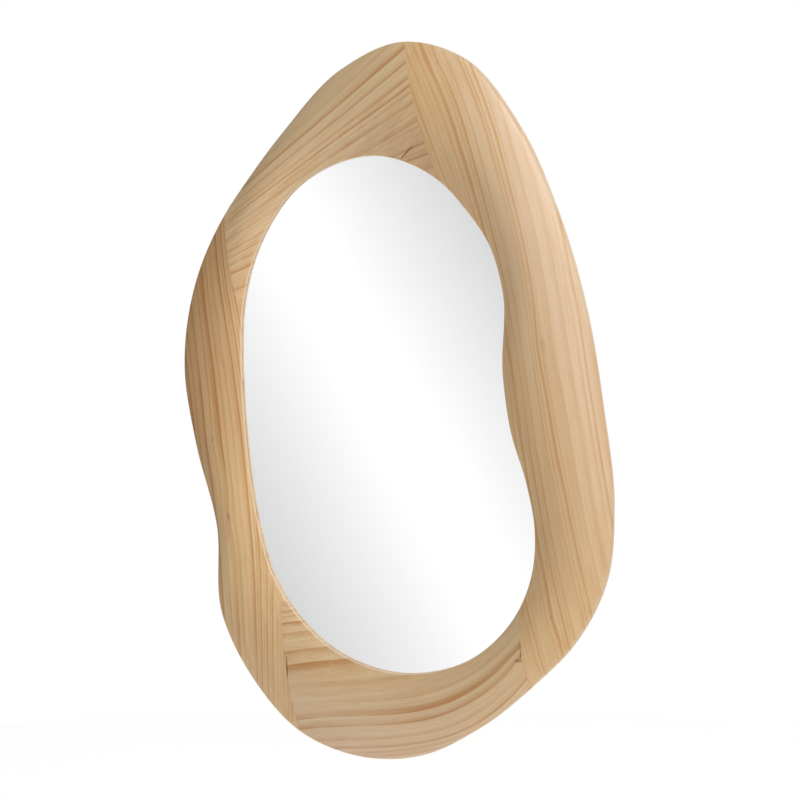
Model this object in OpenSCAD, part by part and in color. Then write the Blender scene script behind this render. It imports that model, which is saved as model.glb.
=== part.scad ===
// Wall mirror with a free-form frame of four jointed pine boards.
// Millimetres. +X is the viewer's right, -Y the front, +Z up.
// Heights (h) are measured forward from the flat back of the frame.

/* [Frame] */
// Height of the frame over all
frame_h = 900; // [700:10:1100]
// Height of the frame's inner edge above its back
lip_h = 14; // [12:0.5:16]
// Height at which the back bevel meets the side wall
bevel_h = 9; // [6:0.5:11]
// How far the back bevel runs in from the side wall
bevel_w = 9; // [4:0.5:12]
// Width of the chamfer where the front meets the side wall
rim_ease = 2.5; // [1:0.5:4]
// Width of the chamfer along the opening
lip_ease = 1.5; // [0.5:0.5:2]
// Smoothing steps between neighbouring stations
steps = 5; // [3:1:6]

/* [Joints] */
// Dowel diameter
dowel_d = 8; // [6:1:8]
// Dowel length, half of it in each board
dowel_l = 30; // [20:1:32]
// Height of the dowels above the frame's back
dowel_h = 14; // [12:0.5:15]

/* [Glass and backing] */
// Thickness of the silvered glass
glass_t = 4; // [3:1:4]
// Thickness of the soft tape between glass and frame
tape_t = 0.5; // [0.5:0.5:1]
// Width of the soft tape
tape_w = 7.5; // [5:0.5:8]
// Thickness of the felt between glass and backing
pad_t = 1; // [0.5:0.5:1]
// Thickness of the fibreboard backing, flush with the frame's back
panel_t = 4; // [3:0.5:4]
// Width of the rebate round the opening
rebate_w = 10; // [9:0.5:12]
// Gap round the glass in the rebate
glass_gap = 1; // [0.5:0.5:2]
// Gap round the backing in the rebate
panel_gap = 0.6; // [0.3:0.1:1]

/* [Turn buttons] */
// Length of a turn button
button_l = 32; // [26:1:36]
// Width of a turn button
button_w = 12; // [10:1:14]
// Thickness of a turn button
button_t = 1.5; // [1:0.5:2]
// Distance of the button screws from the opening
button_out = 21; // [19:1:24]
// Shank diameter of the screws
screw_d = 3.5; // [3:0.5:4]
// Length of the screws under the head
screw_l = 14; // [10:1:14]

/* [Hangers] */
// Height of the hanger rings' hinge above the middle
hanger_z = 120; // [90:5:150]
// Place of the left hanger across the frame
hanger_left_x = -247; // [-252:1:-240]
// Place of the right hanger across the frame
hanger_right_x = 200; // [190:1:215]
// Length of the strap below the hinge
strap_l = 40; // [36:1:46]
// Width of the strap
strap_w = 12; // [11:0.5:12]
// Thickness of the folded strap
strap_t = 2; // [1.5:0.5:2.5]
// Wire diameter of the D ring
wire_d = 3; // [2.5:0.5:3]
// Distance between the ring's two straight sides, wire centre to centre
ring_w = 19; // [19:1:24]
// Length of the ring's straight sides
ring_side = 5; // [3:1:8]
// Lean of the ring on to the frame's back, degrees
ring_lean = 2; // [1:0.5:2]

/* [Wall bumpers] */
// Diameter of a bumper
bumper_d = 18; // [14:1:22]
// Thickness of a bumper
bumper_t = 8; // [7:0.5:10]

/* [Hidden] */
$fn = 48;

pine = "burlywood";
steel = "lightgray";
k = frame_h / 900;                 // the outline grows with the frame
crest_max = 40;                    // thickest place of the boards
back_y = (crest_max - bumper_t) / 2;
fit = 0.05;                        // radial clearance of pins and screws
gap = 0.3;                         // clearance between moving pieces
panel_h = panel_t;
glass_h = panel_t + pad_t;
rebate_h = glass_h + glass_t + tape_t;
knuckle_r = wire_d / 2 + 0.08 + 1;
knuckle_y = back_y + knuckle_r;
head_h = 2;
head_r = screw_d;

// Stations round the ring, clockwise from the joint at the upper left:
// outer x, outer z, inner x, inner z, height of the crest, height of the rim.
// Each joint is the flat cut between its own outer and inner points.
STATIONS = [
    [-231, 236, -213, 102, 28, 22],     // joint, upper left
    [-201, 276, -189, 193, 30, 22],
    [-147, 340, -125, 276, 33, 22],
    [-65, 417, -17, 310, 37, 23],
    [22, 449, 65, 279, 40, 24],         // joint, top
    [95, 429, 98, 247, 40, 24],
    [168, 349, 130, 204, 40, 22],
    [218, 249, 148, 149, 40, 20],
    [256, 133, 149, 46, 40, 20],
    [279, 13, 160, -24, 40, 20],
    [294, -108, 181, -87, 39, 23],
    [286, -199, 192, -142, 37, 26],
    [246, -279, 189, -196, 36, 26],
    [193, -336, 173, -241, 34, 26],     // joint, lower right
    [120, -398, 111, -309, 33, 25],
    [42, -440, 15, -339, 32, 22],
    [-46, -450, -87, -315, 32, 21],
    [-127, -427, -157, -249, 32, 21],   // joint, lower left
    [-194, -366, -173, -221, 32, 21],
    [-240, -283, -187, -178, 32, 22],
    [-247, -167, -199, -123, 31, 22],
    [-277, -61, -208, -52, 30, 22],
    [-293, 39, -213, 15, 29, 22],
    [-274, 151, -214, 66, 28, 22]
];
N = len(STATIONS);
TOP_LEFT = 0;
TOP = 4;
LOW_RIGHT = 13;
LOW_LEFT = 17;

// Dowels as [joint, how far from its outer towards its inner point], the turn
// buttons along the opening (in stations), the bumpers and the strap's holes
DOWELS = [
    [TOP_LEFT, 0.22], [TOP_LEFT, 0.37], [TOP, 0.24], [TOP, 0.74],
    [LOW_RIGHT, 0.26], [LOW_RIGHT, 0.56], [LOW_LEFT, 0.25], [LOW_LEFT, 0.68]
];
BUTTONS = [1.2, 3.25, 6.6, 9.3, 13.55, 15.3, 18.2, 21.8];
BUMPERS = [[-128, 317], [157, 252], [-170, -333], [224, -219]];
STRAP_HOLES = [10, 30];

// Smooth periodic curve through the stations. The outer points, the inner
// points and the heights each run at an even pace along their own chords.
function slope(p, q, r, d0, d1) =
    (q - p) / d0 - (r - p) / (d0 + d1) + (r - q) / d1;
function between(p, q, r, s, d, t) =
    let(
        m = d[1] * slope(p, q, r, d[0], d[1]),
        n = d[1] * slope(q, r, s, d[1], d[2])
    )
    q + m * t + (3 * (r - q) - 2 * m - n) * t * t
        + (m + n - 2 * (r - q)) * t * t * t;
function pair(v, i) = [v[i], v[i + 1]];
function curve(u) =
    let(
        i = floor(u),
        near = [for (j = [i + N - 1 : i + N + 2]) STATIONS[j % N]]
    )
    [for (g = [0, 2, 4])
        let(
            c = g == 2 ? 2 : 0,
            d = [for (j = [0 : 2]) norm(pair(near[j + 1], c) - pair(near[j], c))],
            v = [for (q = near) pair(q, g)]
        )
        each between(v[0], v[1], v[2], v[3], d, u - i)];
function outer(u) = let(q = curve(u)) k * [q[0], q[1]];
function inner(u) = let(q = curve(u)) k * [q[2], q[3]];

// Unit vector away from the opening, and the opening grown by w
function away(u) =
    let(v = inner(u + 0.01) - inner(u + N - 0.01))
    [-v[1], v[0]] / norm(v);
function grown(w) =
    [for (i = [0 : N * steps - 1]) inner(i / steps) + w * away(i / steps)];

// Section of a board at u: a bevelled back, a side wall and an arched front.
// Points run from the back outer corner round the inner edge to the rim.
FRONT = [1, 0.9, 0.8, 0.68, 0.56, 0.44, 0.32, 0.2, 0.1, 0];
function section(u) =
    let(
        q = curve(u), len = norm(outer(u) - inner(u)),
        crest = q[4], rim = q[5],
        a = sqrt(crest - rim), b = sqrt(crest - lip_h),
        s0 = rim_ease / len, s1 = 1 - lip_ease / len
    )
    concat(
        [[bevel_w / len, 0], [1, 0], [1, lip_h - lip_ease]],
        [for (f = FRONT)
            let(s = s0 + (s1 - s0) * f)
            [s, crest - pow(s * (a + b) - a, 2)]],
        [[0, rim - rim_ease], [0, bevel_h]]
    );
function placed(u) =
    let(o = outer(u), i = inner(u))
    [for (p = section(u))
        let(xz = o + p[0] * (i - o))
        [xz[0], back_y - p[1], xz[1]]];

// A board lofted between the joints at stations u0 and u1
module board(u0, u1) {
    rows = (u1 - u0) * steps;
    m = len(section(u0));
    points = [for (r = [0 : rows]) each placed(u0 + r / steps)];
    sides = [for (r = [0 : rows - 1], j = [0 : m - 1])
        let(a = r * m + j, b = r * m + (j + 1) % m)
        each [[a, a + m, b + m], [a, b + m, b]]];
    first = [for (j = [0 : m - 1]) j];
    last = [for (j = [m - 1 : -1 : 0]) rows * m + j];
    polyhedron(points, concat([first], sides, [last]));
}

// A flat piece with outline pts between heights h0 and h1
module plate(pts, h0, h1)
    translate([0, back_y - h0, 0])
        rotate([90, 0, 0])
            linear_extrude(h1 - h0)
                polygon(pts);

// Places its children at (x, z) on the frame's back, their +Z pointing back
module on_back(x, z)
    translate([x, back_y, z])
        rotate([-90, 0, 0])
            children();

module at_button(u) {
    p = inner(u) + button_out * away(u);
    on_back(p[0], p[1])
        rotate([0, 0, atan2(away(u)[1], -away(u)[0])])
            children();
}

module rebate() plate(grown(rebate_w), -1, rebate_h);

// Rods square to their joint's cut
module dowel_rods(r, l)
    for (d = DOWELS) {
        cut = inner(d[0]) - outer(d[0]);
        p = outer(d[0]) + d[1] * cut;
        translate([p[0], back_y - dowel_h, p[1]])
            rotate([0, 90 + atan(cut[0] / cut[1]), 0])
                cylinder(r = r, h = l, center = true);
    }

module button_pilots()
    for (u = BUTTONS)
        at_button(u)
            translate([0, 0, -screw_l - 1])
                cylinder(r = screw_d / 2 + fit, h = screw_l + 2);

module strap_pilots()
    for (x = [hanger_left_x, hanger_right_x], d = STRAP_HOLES)
        on_back(k * x, k * hanger_z - d)
            translate([0, 0, -screw_l - 1])
                cylinder(r = screw_d / 2 + fit, h = screw_l + 2);

module finished_board(u0, u1)
    color(pine)
        difference() {
            board(u0, u1);
            rebate();
            dowel_rods(dowel_d / 2 + fit, dowel_l + 2);
            button_pilots();
            strap_pilots();
        }

module left_stile() finished_board(LOW_LEFT, N + TOP_LEFT);
module right_stile() finished_board(TOP, LOW_RIGHT);
module top_rail() finished_board(TOP_LEFT, TOP);
module bottom_rail() finished_board(LOW_RIGHT, LOW_LEFT);

module joint_dowels()
    color("tan")
        dowel_rods(dowel_d / 2, dowel_l);

module mirror_pane()
    color("lightblue")
        plate(grown(rebate_w - glass_gap), glass_h, glass_h + glass_t);

module edge_tape()
    color("dimgray")
        difference() {
            plate(grown(rebate_w - glass_gap), glass_h + glass_t, rebate_h);
            plate(grown(rebate_w - glass_gap - tape_w), glass_h, rebate_h + 1);
        }

module felt_pad()
    color("darkgray")
        plate(grown(rebate_w - glass_gap - 3), panel_h, glass_h);

module backing_panel()
    color("sienna")
        plate(grown(rebate_w - panel_gap), 0, panel_h);

// A flat steel finger that turns on its screw, resting on the backing
module turn_button(u)
    color(steel)
        at_button(u)
            translate([0, 0, gap])
                difference() {
                    union() {
                        cylinder(d = button_w, h = button_t);
                        translate([0, -button_w / 2, 0])
                            cube([button_l - button_w, button_w, button_t]);
                        translate([button_l - button_w, 0, 0])
                            cylinder(d = button_w, h = button_t);
                    }
                    translate([0, 0, -1])
                        cylinder(r = screw_d / 2 + fit, h = button_t + 2);
                }

module turn_button_1() turn_button(BUTTONS[0]);
module turn_button_2() turn_button(BUTTONS[1]);
module turn_button_3() turn_button(BUTTONS[2]);
module turn_button_4() turn_button(BUTTONS[3]);
module turn_button_5() turn_button(BUTTONS[4]);
module turn_button_6() turn_button(BUTTONS[5]);
module turn_button_7() turn_button(BUTTONS[6]);
module turn_button_8() turn_button(BUTTONS[7]);

// A screw whose head bears at height z above its children's origin
module pan_screw(z)
    union() {
        translate([0, 0, -screw_l])
            cylinder(d = screw_d, h = screw_l + z + 0.5);
        translate([0, 0, z])
            difference() {
                cylinder(r1 = head_r, r2 = head_r * 0.8, h = head_h);
                translate([-head_r * 0.6, -0.35, head_h - 0.9])
                    cube([head_r * 1.2, 0.7, 2]);
                translate([-0.35, -head_r * 0.6, head_h - 0.9])
                    cube([0.7, head_r * 1.2, 2]);
            }
    }

module button_screws()
    color(steel)
        for (u = BUTTONS)
            at_button(u)
                pan_screw(gap + button_t + gap);

// A strap folded round the ring's bar, with two screw holes
module hanger_strap(x)
    color(steel)
        difference() {
            union() {
                translate([k * x - strap_w / 2, back_y, k * hanger_z - strap_l])
                    cube([strap_w, strap_t, strap_l]);
                translate([k * x - strap_w / 2, knuckle_y, k * hanger_z])
                    rotate([0, 90, 0])
                        cylinder(r = knuckle_r, h = strap_w);
            }
            translate([k * x - strap_w, knuckle_y, k * hanger_z])
                rotate([0, 90, 0])
                    cylinder(r = wire_d / 2 + 0.08, h = 2 * strap_w);
            for (d = STRAP_HOLES)
                on_back(k * x, k * hanger_z - d)
                    translate([0, 0, -1])
                        cylinder(r = screw_d / 2 + fit, h = strap_t + 2);
        }

module hanger_strap_left() hanger_strap(hanger_left_x);
module hanger_strap_right() hanger_strap(hanger_right_x);

// A D ring standing up from its bar, which lies in the strap's knuckle
ring_bend = 3;
module hanger_ring(x)
    color(steel)
        translate([k * x, knuckle_y, k * hanger_z])
            rotate([90 + ring_lean, 0, 0])
                union() {
                    half = ring_w / 2;
                    bar = ring_w - 2 * ring_bend;
                    translate([-bar / 2, 0, 0])
                        rotate([0, 90, 0])
                            cylinder(d = wire_d, h = bar);
                    for (side = [0, 1])
                        mirror([side, 0, 0]) {
                            translate([bar / 2, ring_bend, 0])
                                rotate([0, 0, -90])
                                    rotate_extrude(angle = 90)
                                        translate([ring_bend, 0])
                                            circle(d = wire_d);
                            translate([half, ring_bend, 0])
                                rotate([-90, 0, 0])
                                    cylinder(d = wire_d, h = ring_side);
                        }
                    translate([0, ring_bend + ring_side, 0])
                        rotate_extrude(angle = 180)
                            translate([half, 0])
                                circle(d = wire_d);
                }

module hanger_ring_left() hanger_ring(hanger_left_x);
module hanger_ring_right() hanger_ring(hanger_right_x);

module strap_screws()
    color(steel)
        for (x = [hanger_left_x, hanger_right_x], d = STRAP_HOLES)
            on_back(k * x, k * hanger_z - d)
                pan_screw(strap_t);

module wall_bumpers()
    color("whitesmoke")
        for (p = BUMPERS)
            on_back(k * p[0], k * p[1])
                union() {
                    cylinder(d = bumper_d, h = bumper_t - 2);
                    translate([0, 0, bumper_t - 2])
                        cylinder(d1 = bumper_d, d2 = bumper_d - 4, h = 2);
                }

left_stile();
right_stile();
top_rail();
bottom_rail();
joint_dowels();
mirror_pane();
edge_tape();
felt_pad();
backing_panel();
turn_button_1();
turn_button_2();
turn_button_3();
turn_button_4();
turn_button_5();
turn_button_6();
turn_button_7();
turn_button_8();
button_screws();
hanger_strap_left();
hanger_strap_right();
hanger_ring_left();
hanger_ring_right();
strap_screws();
wall_bumpers();
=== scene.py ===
"""Looks of the wall mirror. Metres, +X the viewer's right, -Y the front, +Z up."""

import math

import bmesh
import bpy
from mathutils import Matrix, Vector


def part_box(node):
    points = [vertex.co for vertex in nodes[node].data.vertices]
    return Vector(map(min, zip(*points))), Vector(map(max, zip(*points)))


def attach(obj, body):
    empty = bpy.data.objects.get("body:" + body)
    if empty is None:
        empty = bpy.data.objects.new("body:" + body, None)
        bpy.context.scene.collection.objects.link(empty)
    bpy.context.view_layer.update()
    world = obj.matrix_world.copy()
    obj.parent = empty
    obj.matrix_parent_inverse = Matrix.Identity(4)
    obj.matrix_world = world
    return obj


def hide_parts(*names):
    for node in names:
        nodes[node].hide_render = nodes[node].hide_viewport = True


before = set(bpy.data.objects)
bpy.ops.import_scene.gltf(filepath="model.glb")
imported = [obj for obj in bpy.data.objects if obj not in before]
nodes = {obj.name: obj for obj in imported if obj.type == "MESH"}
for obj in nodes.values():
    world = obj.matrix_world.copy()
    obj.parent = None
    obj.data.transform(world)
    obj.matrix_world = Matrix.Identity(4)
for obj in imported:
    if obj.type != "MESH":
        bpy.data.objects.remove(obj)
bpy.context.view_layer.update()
scene = bpy.context.scene
scene.view_settings.view_transform = "Standard"
MM = 0.001

# ---------------------------------------------------------------- the boards
# The outline's stations and the section's sizes, repeated from the part's
# source in millimetres: outer x and z, inner x and z, crest and rim height.
# Heights are measured forward from the frame's back.
BACK_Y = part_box("backing_panel")[1][1] / MM
LIP_H, REBATE_H, REBATE_W = 14, 9.5, 10
BEVEL_H, BEVEL_W = 9, 9
STATIONS = [
    (-231, 236, -213, 102, 28, 22),  # joint, upper left
    (-201, 276, -189, 193, 30, 22),
    (-147, 340, -125, 276, 33, 22),
    (-65, 417, -17, 310, 37, 23),
    (22, 449, 65, 279, 40, 24),  # joint, top
    (95, 429, 98, 247, 40, 24),
    (168, 349, 130, 204, 40, 22),
    (218, 249, 148, 149, 40, 20),
    (256, 133, 149, 46, 40, 20),
    (279, 13, 160, -24, 40, 20),
    (294, -108, 181, -87, 39, 23),
    (286, -199, 192, -142, 37, 26),
    (246, -279, 189, -196, 36, 26),
    (193, -336, 173, -241, 34, 26),  # joint, lower right
    (120, -398, 111, -309, 33, 25),
    (42, -440, 15, -339, 32, 22),
    (-46, -450, -87, -315, 32, 21),
    (-127, -427, -157, -249, 32, 21),  # joint, lower left
    (-194, -366, -173, -221, 32, 21),
    (-240, -283, -187, -178, 32, 22),
    (-247, -167, -199, -123, 31, 22),
    (-277, -61, -208, -52, 30, 22),
    (-293, 39, -213, 15, 29, 22),
    (-274, 151, -214, 66, 28, 22),
]
COUNT = len(STATIONS)
TOP_LEFT, TOP, LOW_RIGHT, LOW_LEFT = 0, 4, 13, 17
ROWS = 18  # rows of faces from one station to the next
FRONT_STEPS = 30  # points over the arched front
LIP_EASE, RIM_EASE, RIM_DROP = 1.2, 3.5, 3  # how far the lip and the rim are rounded
GROOVE = 0.25  # how far a board's edge is eased at a joint, millimetres
JOINT_STRIP = 0.004  # width of that eased edge along the ring, in stations
MIDDLE_H = 12  # about halfway up the section
FADE = 4  # distance from the section's middle at which the easing is full


def curve(u):
    """All six station values at u, smooth and periodic. The outer points and
    the inner points each run at an even pace along their own chords, and the
    heights keep the outer points' pace."""
    i = math.floor(u)
    t = u - i
    near = [STATIONS[(i + k) % COUNT] for k in (-1, 0, 1, 2)]
    values = []
    for group in (0, 2, 4):
        c = 2 if group == 2 else 0
        d0, d1, d2 = (
            math.hypot(b[c] - a[c], b[c + 1] - a[c + 1]) for a, b in zip(near, near[1:])
        )
        for p, q, r, s in zip(*(n[group : group + 2] for n in near)):
            m = d1 * ((q - p) / d0 - (r - p) / (d0 + d1) + (r - q) / d1)
            n = d1 * ((r - q) / d1 - (s - q) / (d1 + d2) + (s - r) / d2)
            rise = r - q
            values.append(
                q + m * t + (3 * rise - 2 * m - n) * t**2 + (m + n - 2 * rise) * t**3
            )
    return values


def rounded(start, corner, end, n=6):
    """Points of a rounded corner between two points beside it."""
    points = []
    for k in range(n + 1):
        t = k / n
        points.append(
            tuple(
                (1 - t) ** 2 * a + 2 * t * (1 - t) * b + t**2 * c
                for a, b, c in zip(start, corner, end)
            )
        )
    return points


def section(u):
    """A board's section at u as (distance from the rim, height) points."""
    ox, oz, ix, iz, crest, rim = curve(u)
    length = math.hypot(ix - ox, iz - oz)
    nearby, least_slant = 0.01, 0.2
    before, after = curve(u - nearby), curve(u + nearby)
    along = Vector((after[2] - before[2], after[3] - before[3])).normalized()
    spoke = Vector((ix - ox, iz - oz)) / length
    slant = max(least_slant, abs(along.x * spoke.y - along.y * spoke.x))
    ledge = length - REBATE_W / slant
    a, b = math.sqrt(crest - rim), math.sqrt(crest - LIP_H)

    def front(x):
        return crest - (x / length * (a + b) - a) ** 2

    lip = length - LIP_EASE
    points = [(ledge, 0), (ledge, REBATE_H), (length, REBATE_H)]
    points += rounded((length, LIP_H - LIP_EASE), (length, LIP_H), (lip, front(lip)))
    for k in range(1, FRONT_STEPS):
        x = lip - (lip - RIM_EASE) * k / FRONT_STEPS
        points.append((x, front(x)))
    points += rounded((RIM_EASE, front(RIM_EASE)), (0, rim), (0, rim - RIM_DROP))
    # the bevel's two corners, each rounded a little to both sides
    side, slope, foot, flat = 2, 1.6, 1.2, 1.6
    points += rounded((0, BEVEL_H + side), (0, BEVEL_H), (slope, BEVEL_H - slope), 4)
    points += rounded((BEVEL_W - foot, foot), (BEVEL_W, 0), (BEVEL_W + flat, 0), 4)
    return length, points


def row(u, eased=0.0):
    """The section at u in the row frame, in metres, drawn in by eased."""
    ox, oz, ix, iz = curve(u)[:4]
    length, points = section(u)
    placed = []
    for x, h in points:
        x += eased * max(-1, min(1, (length / 2 - x) / FADE))
        h += eased * max(-1, min(1, (MIDDLE_H - h) / FADE))
        s = x / length
        placed.append(
            Vector((ox + s * (ix - ox), BACK_Y - h, oz + s * (iz - oz))) * MM
        )
    return placed


def mark_sharp(bm, degrees):
    """Smooth faces, with the edges steeper than this kept crisp."""
    for face in bm.faces:
        face.smooth = True
    for e in bm.edges:
        if len(e.link_faces) == 2:
            e.smooth = e.calc_face_angle(0) < math.radians(degrees)


def board(name, u0, u1):
    """One board, lofted between the joints at stations u0 and u1."""
    n = (u1 - u0) * ROWS
    us = [u0, u0 + JOINT_STRIP] + [u0 + k / ROWS for k in range(1, n)] + [u1 - JOINT_STRIP, u1]
    bm = bmesh.new()
    loops = []
    for k, u in enumerate(us):
        eased = GROOVE if k in (0, len(us) - 1) else 0.0
        loops.append([bm.verts.new(p) for p in row(u, eased)])
    m = len(loops[0])
    for low, high in zip(loops, loops[1:]):
        for j in range(m):
            k = (j + 1) % m
            bm.faces.new((low[j], high[j], high[k], low[k]))
    bm.faces.new(loops[0])
    bm.faces.new(loops[-1][::-1])
    bmesh.ops.recalc_face_normals(bm, faces=bm.faces)
    mark_sharp(bm, 30)
    mesh = bpy.data.meshes.new(name)
    bm.to_mesh(mesh)
    bm.free()
    obj = bpy.data.objects.new(name, mesh)
    scene.collection.objects.link(obj)
    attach(obj, "mirror")
    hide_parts(name.replace("_board", ""))
    return obj


boards = {
    "left": board("left_stile_board", LOW_LEFT, COUNT + TOP_LEFT),
    "right": board("right_stile_board", TOP, LOW_RIGHT),
    "top": board("top_rail_board", TOP_LEFT, TOP),
    "bottom": board("bottom_rail_board", LOW_RIGHT, LOW_LEFT),
}


# ------------------------------------------------------------ node materials
def linear(r, g, b):
    """An sRGB colour, 0 to 255, as linear values."""
    out = []
    for c in (r, g, b):
        c /= 255
        out.append(c / 12.92 if c <= 0.04045 else ((c + 0.055) / 1.055) ** 2.4)
    return (*out, 1.0)


class Graph:
    """A material whose nodes are added by short calls that return sockets."""

    def __init__(self, name):
        self.material = bpy.data.materials.new(name)
        self.material.use_nodes = True
        self.tree = self.material.node_tree
        self.shader = self.tree.nodes["Principled BSDF"]
        self.place = self.add("ShaderNodeTexCoord").outputs["Object"]

    def add(self, kind, **values):
        node = self.tree.nodes.new(kind)
        for key, value in values.items():
            setattr(node, key, value)
        return node

    def feed(self, socket, value):
        if isinstance(value, bpy.types.NodeSocket):
            self.tree.links.new(value, socket)
        else:
            socket.default_value = value

    def math(self, operation, a, b=0.0, c=0.0, clamp=False):
        node = self.add("ShaderNodeMath", operation=operation, use_clamp=clamp)
        for socket, value in zip(node.inputs, (a, b, c)):
            self.feed(socket, value)
        return node.outputs[0]

    def vector(self, operation, a, b=(0, 0, 0), output="Vector"):
        node = self.add("ShaderNodeVectorMath", operation=operation)
        self.feed(node.inputs[0], a)
        self.feed(node.inputs[1], b)
        return node.outputs[output]

    def dot(self, a, b):
        return self.vector("DOT_PRODUCT", a, b, "Value")

    def join(self, x, y, z):
        node = self.add("ShaderNodeCombineXYZ")
        for socket, value in zip(node.inputs, (x, y, z)):
            self.feed(socket, value)
        return node.outputs[0]

    def noise(self, place, scale, detail=2.0, roughness=0.5, dimensions="3D"):
        """Noise about 0.5."""
        node = self.add("ShaderNodeTexNoise", noise_dimensions=dimensions)
        if dimensions == "1D":
            self.feed(node.inputs["W"], place)
        else:
            self.feed(node.inputs["Vector"], place)
        node.inputs["Scale"].default_value = scale
        node.inputs["Detail"].default_value = detail
        node.inputs["Roughness"].default_value = roughness
        return node.outputs["Fac"]

    def white(self, value):
        node = self.add("ShaderNodeTexWhiteNoise", noise_dimensions="1D")
        self.feed(node.inputs["W"], value)
        return node.outputs["Value"]

    def cells(self, place, scale, feature="F1", output="Distance"):
        node = self.add("ShaderNodeTexVoronoi", feature=feature)
        self.feed(node.inputs["Vector"], place)
        node.inputs["Scale"].default_value = scale
        return node.outputs[output]

    def between(self, value, low, high, a=0.0, b=1.0):
        """Smooth step: a at low and below, b at high and above."""
        node = self.add("ShaderNodeMapRange", interpolation_type="SMOOTHSTEP")
        for socket, v in zip(node.inputs, (value, low, high, a, b)):
            self.feed(socket, v)
        return node.outputs[0]

    def mix(self, factor, a, b, blend="MIX"):
        node = self.add("ShaderNodeMix", data_type="RGBA", blend_type=blend)
        self.feed(node.inputs["Factor"], factor)
        self.feed(node.inputs["A"], a)
        self.feed(node.inputs["B"], b)
        return node.outputs["Result"]

    def bump(self, height, depth, normal=None):
        """A bump of this depth in metres."""
        node = self.add("ShaderNodeBump")
        node.inputs["Strength"].default_value = 1.0
        node.inputs["Distance"].default_value = depth
        self.feed(node.inputs["Height"], height)
        if normal is not None:
            self.feed(node.inputs["Normal"], normal)
        return node.outputs["Normal"]

    def set(self, **values):
        for key, value in values.items():
            self.feed(self.shader.inputs[key.replace("_", " ")], value)
        return self.material


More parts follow.
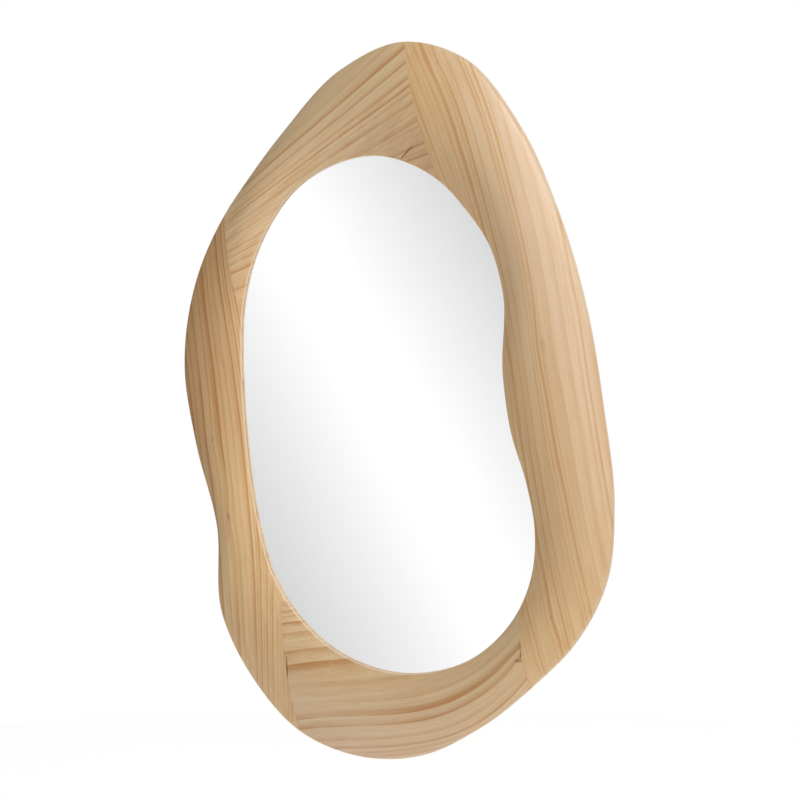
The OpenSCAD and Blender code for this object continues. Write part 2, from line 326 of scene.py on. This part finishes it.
def pine(
    name,
    grain,
    through,
    years,
    light,
    dark,
    strength=1.0,
    depth=0.5,
    fan=0.0,
    bend=(0, 0),
    fold=None,
    wave=2.0,
    tint=None,
    knots=(),
    cracks=(),
):
    """Solid pine, in millimetres. grain is the angle of the fibres from +X
    towards +Z; through is a point (x, z) on the line where the count of years
    starts; years lists (distance from that line, width of a year there);
    depth is how much the rings lean back into the board; fan is one over the
    distance at which the fibres would meet; bend is (cubic bend, its middle);
    fold mirrors the years about the line, as in a flat-sawn board, and gives
    (how much denser they are below it, how round the fold is, years at it);
    tint is (x, z, distance, colour, distance, colour) for a multiplying tint
    that changes along x and z; wave is how much the years wander; each knot
    is (x, z, size, tone), and each crack (x, z, x, z, width)."""
    g = Graph(name)
    turn = math.radians(grain)
    fibre = Vector((math.cos(turn), 0, math.sin(turn)))
    across = Vector((math.sin(turn), 0, -math.cos(turn)))
    here = g.vector("SCALE", g.place)
    here.node.inputs["Scale"].default_value = 1000.0
    px, pz = through
    start = Vector((px, 0, pz))
    w = g.math("SUBTRACT", g.dot(here, fibre), start.dot(fibre))
    u = g.math("SUBTRACT", g.dot(here, across), start.dot(across))
    v = g.dot(here, (0, 1, 0))

    def stretched(lateral, along):
        """Object space squeezed along the fibres, for noise."""
        return g.join(
            g.math("MULTIPLY", u, lateral),
            g.math("MULTIPLY", v, lateral),
            g.math("MULTIPLY", w, along),
        )

    def centred(value, size):
        return g.math("MULTIPLY_ADD", value, size, -size / 2)

    # the count of years across the board, along fibres that bend and fan out
    curl, middle = bend
    off = g.math("SUBTRACT", w, middle)
    cube = g.math("MULTIPLY", g.math("MULTIPLY", off, off), off)
    u = g.math("MULTIPLY_ADD", cube, curl, u)
    radius = g.math("DIVIDE", u, g.math("MULTIPLY_ADD", w, fan, 1.0))
    radius = g.math("MULTIPLY_ADD", v, depth, radius)
    radius = g.math("ADD", radius, centred(g.noise(stretched(0.012, 0.0035), 1.0, 1.0), 6 * wave))
    radius = g.math("ADD", radius, centred(g.noise(stretched(0.035, 0.012), 1.0, 2.0), 1.2 * wave))

    begin = 0.0
    if fold is not None:
        denser, soft, begin = fold
        radius = g.math("MAXIMUM", radius, g.math("MULTIPLY", radius, -denser))
        radius = g.math("MULTIPLY_ADD", radius, radius, soft * soft)
        radius = g.math("SUBTRACT", g.math("SQRT", radius), soft)

    # fibres part round each knot
    knot_mask = None
    for kx, kz, size, depth_of_tone in knots:
        offset = g.vector("SUBTRACT", here, (kx, 0, kz))
        du = g.dot(offset, across)
        dw = g.math("MULTIPLY", g.dot(offset, fibre), 0.4)
        reach = g.math(
            "SQRT", g.math("ADD", g.math("MULTIPLY", du, du), g.math("MULTIPLY", dw, dw))
        )
        swell = g.math("MULTIPLY", g.math("MULTIPLY", reach, reach), -0.05 / size**2)
        push = g.math("MULTIPLY", g.math("EXPONENT", swell), size * 1.1)
        radius = g.math("ADD", radius, push)
        core = g.between(reach, size * 0.2, size * 1.2, depth_of_tone, 0.0)
        knot_mask = core if knot_mask is None else g.math("MAXIMUM", knot_mask, core)

    # a year: pale early wood that darkens to a thin late line, then stops
    first, width = years[0]
    before = g.math("MINIMUM", g.math("SUBTRACT", radius, first), 0.0)
    count = g.math("DIVIDE", before, width)
    for k, (first, width) in enumerate(years):
        last = years[k + 1][0] if k + 1 < len(years) else first + 1000
        band = g.math("MINIMUM", g.math("SUBTRACT", radius, first), last - first)
        band = g.math("MAXIMUM", band, 0.0)
        count = g.math("MULTIPLY_ADD", band, 1 / width, count)
    count = g.math(
        "ADD", count, g.math("MULTIPLY_ADD", g.noise(count, 0.41, 2.0, dimensions="1D"), 2.0, begin)
    )
    part = g.math("FRACT", count)
    year = g.white(g.math("FLOOR", count))
    rise = g.between(part, 0.0, 0.95)
    sharp = g.math("MULTIPLY", rise, rise)
    rise = g.math("MULTIPLY_ADD", g.math("MULTIPLY", sharp, sharp), 0.65, g.math("MULTIPLY", rise, 0.35))
    late = g.math("MULTIPLY", rise, g.between(part, 0.95, 1.0, 1.0, 0.0))
    late = g.math(
        "MULTIPLY", late, g.math("MULTIPLY_ADD", g.math("MULTIPLY", year, year), 1.1, 0.25)
    )
    patchy = g.noise(stretched(0.02, 0.006), 1.0, 2.0)
    late = g.math("MULTIPLY", late, g.between(patchy, 0.25, 0.65, 0.45, 1.15))
    late = g.math("MULTIPLY", late, strength)

    # fibres, streaks and resin canals
    threads = g.noise(stretched(0.9, 0.03), 1.0, 3.0, 0.65)
    streaks = g.noise(stretched(0.11, 0.004), 1.0, 4.0, 0.62)
    canals = g.between(g.cells(stretched(0.6, 0.07), 1.0), 0.04, 0.14, 1.0, 0.0)
    tone = g.math("ADD", late, centred(streaks, 1.15))
    tone = g.math("ADD", tone, centred(threads, 0.5))
    tone = g.math("ADD", tone, 0.12, clamp=True)

    colour = g.mix(tone, light, dark)
    if tint is not None:
        tx, tz, t0, tint0, t1, tint1 = tint
        shade = g.mix(g.between(g.dot(here, (tx, 0, tz)), t0, t1), tint0, tint1)
        colour = g.mix(1.0, colour, shade, blend="MULTIPLY")
    colour = g.mix(g.math("MULTIPLY", canals, 0.13), colour, linear(118, 76, 44))
    # painted highlight: the edge walls beside the glass and round the outside are painted paler
    height = g.math("SUBTRACT", BACK_Y, g.dot(here, (0, 1, 0)))
    lip_pale = g.between(height, LIP_H - 0.8, LIP_H + 1, 0.45, 0.0)
    above_back = g.between(height, 5, BEVEL_H - 1)
    painted_edge_highlight = g.math("MULTIPLY", lip_pale, above_back)
    colour = g.mix(painted_edge_highlight, colour, linear(240, 220, 194))
    if knot_mask is not None:
        colour = g.mix(knot_mask, colour, linear(92, 66, 50))
    rough = g.math("MULTIPLY_ADD", threads, 0.14, 0.44)
    rough = g.math("MULTIPLY_ADD", late, -0.08, rough)

    split = None
    for x0, z0, x1, z1, width in cracks:
        tip = Vector((x0, 0, z0))
        way = Vector((x1, 0, z1)) - tip
        flat = g.vector("MULTIPLY", g.vector("SUBTRACT", here, tip), (1, 0, 1))
        t = g.math("DIVIDE", g.dot(flat, way), way.length_squared, clamp=True)
        near_point = g.vector("SCALE", way[:])
        g.feed(near_point.node.inputs["Scale"], t)
        gap = g.vector("LENGTH", g.vector("SUBTRACT", flat, near_point), output="Value")
        fat = g.math("MULTIPLY", g.math("SUBTRACT", 1.0, t), t)
        fat = g.math("MULTIPLY_ADD", g.math("SQRT", fat), 2 * width, 0.02)
        gap = g.math("ADD", gap, centred(threads, 1.2 * width))
        line = g.between(g.math("DIVIDE", gap, fat), 0.5, 1.3, 1.0, 0.0)
        split = line if split is None else g.math("MAXIMUM", split, line)
    relief = g.math("MULTIPLY_ADD", threads, 0.6, g.math("MULTIPLY", late, 0.12))
    relief = g.math("SUBTRACT", relief, g.math("MULTIPLY", canals, 0.3))
    if split is not None:
        colour = g.mix(g.math("MULTIPLY", split, 0.85), colour, linear(88, 44, 26))
        relief = g.math("SUBTRACT", relief, g.math("MULTIPLY", split, 4.0))
    return g.set(
        Base_Color=colour,
        Roughness=rough,
        Normal=g.bump(relief, 0.00006),
        Specular_IOR_Level=0.5,
        Coat_Weight=0.15,
        Coat_Roughness=0.3,
    )


def assign(obj, material):
    obj.data.materials.clear()
    obj.data.materials.append(material)


def wash(r, g, b):
    """A multiplying tint."""
    return (r, g, b, 1.0)


assign(
    boards["left"],
    pine(
        "pine_left_stile",
        grain=98.0,
        through=(-250, -20),
        years=((-80, 8), (-22, 11), (12, 8), (34, 5), (48, 4.4)),
        light=linear(212, 180, 134),
        dark=linear(184, 132, 76),
        strength=1.1,
        depth=0.35,
        bend=(-3.6e-7, 50),
        wave=1.7,
        # the tint darkens the outer edge: partly darker, denser wood, partly painted shade on the side
        # turned from the key light
        tint=(0.9, -0.12, -258, wash(0.8, 0.7, 0.58), -165, wash(1.04, 1.03, 1.0)),
        knots=((-247, -53, 2.0, 0.3), (-224, -152, 2.4, 0.35)),
    ),
)
assign(
    boards["right"],
    pine(
        "pine_right_stile",
        grain=100.0,
        through=(215, 0),
        years=((-200, 5), (-75, 6.2), (-30, 7), (-4, 9), (25, 12)),
        light=linear(211, 182, 142),
        dark=linear(194, 150, 96),
        strength=1.25,
        depth=0.3,
        bend=(4.8e-7, 0),
        wave=2.6,
        # the tint's pale, cool outer end is partly paler wood and partly a painted highlight, the key
        # light's sheen on the outer upper arch
        tint=(0.94, 0.33, 165, wash(1.05, 0.98, 0.86), 290, wash(1.14, 1.18, 1.36)),
        knots=((212, 86, 4.5, 0.16), (223, -245, 1.6, 0.3), (69, 424, 1.4, 0.3)),
    ),
)
assign(
    boards["top"],
    pine(
        "pine_top_rail",
        grain=41.0,
        through=(-66, 417),
        years=((-60, 220), (14, 11), (26, 14), (40, 7.2), (76, 12), (104, 8.5), (150, 25)),
        light=linear(208, 179, 136),
        dark=linear(184, 132, 80),
        strength=0.85,
        depth=0.45,
        fan=0.0018,
        wave=1.3,
        tint=(-0.6, 0.8, 200, wash(1.0, 0.9, 0.84), 330, wash(1.06, 1.1, 1.14)),
        cracks=((12, 306, 36, 323, 0.8),),
    ),
)
assign(
    boards["bottom"],
    pine(
        "pine_bottom_rail",
        grain=188.0,
        through=(0, -360),
        years=((0, 30), (18, 18), (38, 14), (62, 11), (90, 7)),
        light=linear(214, 187, 150),
        dark=linear(184, 134, 82),
        strength=0.8,
        depth=0.12,
        bend=(5.0e-6, 60),
        fold=(1.3, 10, 0.45),
        wave=1.8,
        tint=(0, 1, -440, wash(1.0, 0.98, 1.02), -330, wash(0.98, 0.95, 0.86)),
        knots=((180, -302, 2.6, 0.6),),
        cracks=((-141, -327, -139, -356, 0.9), (181, -279, 183, -301, 0.5)),
    ),
)


def beech():
    g = Graph("beech_dowel")
    flecks = g.noise(g.vector("MULTIPLY", g.place, (120, 900, 900)), 1.0, 3.0)
    colour = g.mix(g.between(flecks, 0.3, 0.7), linear(214, 178, 138), linear(186, 142, 100))
    return g.set(Base_Color=colour, Roughness=0.55, Normal=g.bump(flecks, 0.0001))


def silvered():
    g = Graph("silvered_glass")
    film = g.noise(g.place, 9.0, 4.0, 0.6)
    tint = g.mix(g.between(film, 0.3, 0.7), (0.945, 0.955, 0.95, 1), (0.955, 0.965, 0.962, 1))
    rough = g.between(g.noise(g.place, 60.0, 3.0), 0.35, 0.75, 0.0, 0.012)
    return g.set(Base_Color=tint, Metallic=1.0, Roughness=rough)


def foam_tape():
    g = Graph("foam_tape")
    bubbles = g.cells(g.place, 1400.0)
    colour = g.mix(g.between(bubbles, 0.1, 0.6), linear(176, 150, 128), linear(206, 184, 162))
    return g.set(Base_Color=colour, Roughness=0.9, Normal=g.bump(bubbles, 0.0002))


def felt():
    g = Graph("felt")
    fluff = g.noise(g.place, 700.0, 5.0, 0.75)
    colour = g.mix(g.between(fluff, 0.3, 0.7), linear(92, 90, 88), linear(140, 137, 133))
    return g.set(Base_Color=colour, Roughness=0.95, Normal=g.bump(fluff, 0.0005))


def fibreboard():
    g = Graph("fibreboard")
    clumps = g.noise(g.place, 55.0, 5.0, 0.65)
    fibres = g.noise(g.vector("MULTIPLY", g.place, (420, 420, 1500)), 1.0, 4.0, 0.7)
    specks = g.between(g.cells(g.place, 260.0), 0.06, 0.2, 1.0, 0.0)
    tone = g.math("MULTIPLY_ADD", clumps, 0.7, g.math("MULTIPLY_ADD", fibres, 0.8, -0.3), clamp=True)
    colour = g.mix(tone, linear(118, 82, 52), linear(164, 124, 86))
    colour = g.mix(g.math("MULTIPLY", specks, 0.5), colour, linear(84, 56, 34))
    rough = g.math("MULTIPLY_ADD", fibres, 0.2, 0.55)
    return g.set(Base_Color=colour, Roughness=rough, Normal=g.bump(fibres, 0.0002))


def zinc():
    g = Graph("zinc_steel")
    spangle = g.cells(g.place, 420.0, output="Color")
    grey = g.dot(spangle, (0.33, 0.33, 0.33))
    scratches = g.noise(g.vector("MULTIPLY", g.place, (2600, 300, 240)), 1.0, 3.0, 0.6)
    tarnish = g.noise(g.place, 130.0, 4.0, 0.6)
    colour = g.mix(g.between(tarnish, 0.35, 0.75), linear(214, 214, 212), linear(178, 180, 186))
    colour = g.mix(g.math("MULTIPLY", grey, 0.25), colour, linear(236, 236, 232))
    rough = g.math("MULTIPLY_ADD", scratches, 0.18, g.math("MULTIPLY_ADD", grey, 0.08, 0.22))
    return g.set(
        Base_Color=colour,
        Metallic=1.0,
        Roughness=rough,
        Normal=g.bump(scratches, 0.00003),
    )


def bumper_rubber():
    g = Graph("bumper_rubber")
    haze = g.noise(g.place, 240.0, 4.0, 0.6)
    dust = g.between(g.noise(g.place, 1500.0, 2.0), 0.62, 0.72)
    colour = g.mix(g.between(haze, 0.3, 0.7), linear(212, 210, 202), linear(188, 186, 178))
    colour = g.mix(g.math("MULTIPLY", dust, 0.35), colour, linear(150, 146, 138))
    rough = g.math("MULTIPLY_ADD", haze, 0.25, 0.32)
    return g.set(
        Base_Color=colour,
        Roughness=rough,
        Normal=g.bump(haze, 0.0001),
        Subsurface_Weight=0.2,
        Subsurface_Scale=0.002,
    )


zinc_steel = zinc()
assign(nodes["joint_dowels"], beech())
assign(nodes["mirror_pane"], silvered())
assign(nodes["edge_tape"], foam_tape())
assign(nodes["felt_pad"], felt())
assign(nodes["backing_panel"], fibreboard())
assign(nodes["wall_bumpers"], bumper_rubber())

# Hardware and panel keep the design's shape and gain eased, shaded edges.
EASED = {"wall_bumpers": 1.2, "backing_panel": 0.5}
for name, obj in nodes.items():
    if name.startswith(("turn_button", "hanger", "strap_screws", "button_screws")):
        assign(obj, zinc_steel)
        EASED[name] = 0.15 if "screws" in name else 0.3
for name, width in EASED.items():
    bevel = nodes[name].modifiers.new("eased edges", "BEVEL")
    bevel.width = width * MM
    bevel.segments = 3
    bevel.limit_method = "ANGLE"
    bevel.angle_limit = math.radians(40)
    bevel.harden_normals = True


# ------------------------------------------------------ camera, lights, stage
def aim(obj, place, target):
    obj.location = place
    obj.rotation_mode = "QUATERNION"
    obj.rotation_quaternion = (Vector(target) - Vector(place)).to_track_quat("-Z", "Y")


def around(azimuth, elevation, distance):
    a, e = math.radians(azimuth), math.radians(elevation)
    return (
        Vector((math.sin(a) * math.cos(e), -math.cos(a) * math.cos(e), math.sin(e)))
        * distance
    )


camera = bpy.data.objects.new("camera", bpy.data.cameras.new("camera"))
scene.collection.objects.link(camera)
CAMERA_AZIMUTH, CAMERA_ELEVATION, CAMERA_DISTANCE = 25, 6.5, 2.97
camera.data.lens = 107.7
camera.data.shift_x = 0.0025
target = Vector((0.0114, -0.004, 0.009))
aim(camera, target + around(CAMERA_AZIMUTH, CAMERA_ELEVATION, CAMERA_DISTANCE), target)
scene.camera = camera


def softbox(name, azimuth, elevation, distance, size, watts):
    light = bpy.data.lights.new(name, "AREA")
    light.shape = "DISK"
    light.size = size
    light.energy = watts
    obj = bpy.data.objects.new(name, light)
    scene.collection.objects.link(obj)
    aim(obj, around(azimuth, elevation, distance), (0, 0, 0))


softbox("key", 60, 42, 3.2, 1.3, 60)

world = bpy.data.worlds.new("studio")
scene.world = world
world.use_nodes = True
world.node_tree.nodes["Background"].inputs["Color"].default_value = (1, 1, 1, 1)
world.node_tree.nodes["Background"].inputs["Strength"].default_value = 0.38


def stage_object(name, bm, shader):
    mesh = bpy.data.meshes.new(name)
    bm.to_mesh(mesh)
    bm.free()
    obj = bpy.data.objects.new(name, mesh)
    scene.collection.objects.link(obj)
    obj.data.materials.append(shader)
    obj.visible_shadow = False
    return obj


def glow(name):
    """A material that only gives out light, and its emission node."""
    g = Graph(name)
    g.tree.nodes.remove(g.shader)
    emission = g.add("ShaderNodeEmission")
    output = g.tree.nodes["Material Output"]
    g.tree.links.new(emission.outputs[0], output.inputs["Surface"])
    return g, emission


def dome(radius):
    bm = bmesh.new()
    bmesh.ops.create_icosphere(bm, subdivisions=4, radius=radius)
    return bm


# What the camera sees behind the object: plain white.
plain, lamp = glow("backdrop_white")
lamp.inputs["Color"].default_value = (1, 1, 1, 1)
backdrop = stage_object("backdrop", dome(14.0), plain.material)
backdrop.visible_diffuse = False
backdrop.visible_glossy = False

# What shiny surfaces see: a pale studio, dim on the left, with one soft
# diagonal sheen ahead of the glass that falls away to both sides.
SHEEN_TILT, SHEEN_FLAT, SHEEN_FALL, SHEEN_TOP, SHEEN_FLOOR = 29, 0.0116, -5.1, 1.074, 0.65
soft, lamp = glow("studio_sheen")
ray = soft.vector("NORMALIZE", soft.place)
slope = Vector((math.cos(math.radians(SHEEN_TILT)), 0, math.sin(math.radians(SHEEN_TILT))))
offset = soft.dot(soft.vector("SUBTRACT", ray, around(-25.4, -6.25, 1.0)), slope)
fall = soft.math("SUBTRACT", soft.math("ABSOLUTE", offset), SHEEN_FLAT)
sheen = soft.math("MULTIPLY_ADD", soft.math("MAXIMUM", fall, 0.0), SHEEN_FALL, SHEEN_TOP)
sheen = soft.math("MAXIMUM", sheen, SHEEN_FLOOR)
side = soft.dot(ray, (1, 0, 0))
sheen = soft.math("MULTIPLY", sheen, soft.between(side, -0.95, -0.6, 0.25, 1.0))
soft.feed(lamp.inputs["Strength"], sheen)
lamp.inputs["Color"].default_value = (1, 1, 1, 1)
studio = stage_object("studio", dome(13.0), soft.material)
studio.visible_camera = False
studio.visible_diffuse = False

# A plain pale floor, well below, since the mirror hangs on a wall.
floor_mesh = bmesh.new()
bmesh.ops.create_circle(floor_mesh, cap_ends=True, segments=96, radius=3.3)
for vert in floor_mesh.verts:
    vert.co.z = -1.2
pale = Graph("pale_floor")
dapple = pale.noise(pale.place, 3.0, 2.0)
pale.set(
    Base_Color=pale.mix(dapple, linear(240, 240, 238), linear(246, 246, 245)),
    Roughness=0.8,
    Emission_Color=(1, 1, 1, 1),
    Emission_Strength=0.55,
)
stage_object("floor", floor_mesh, pale.material)
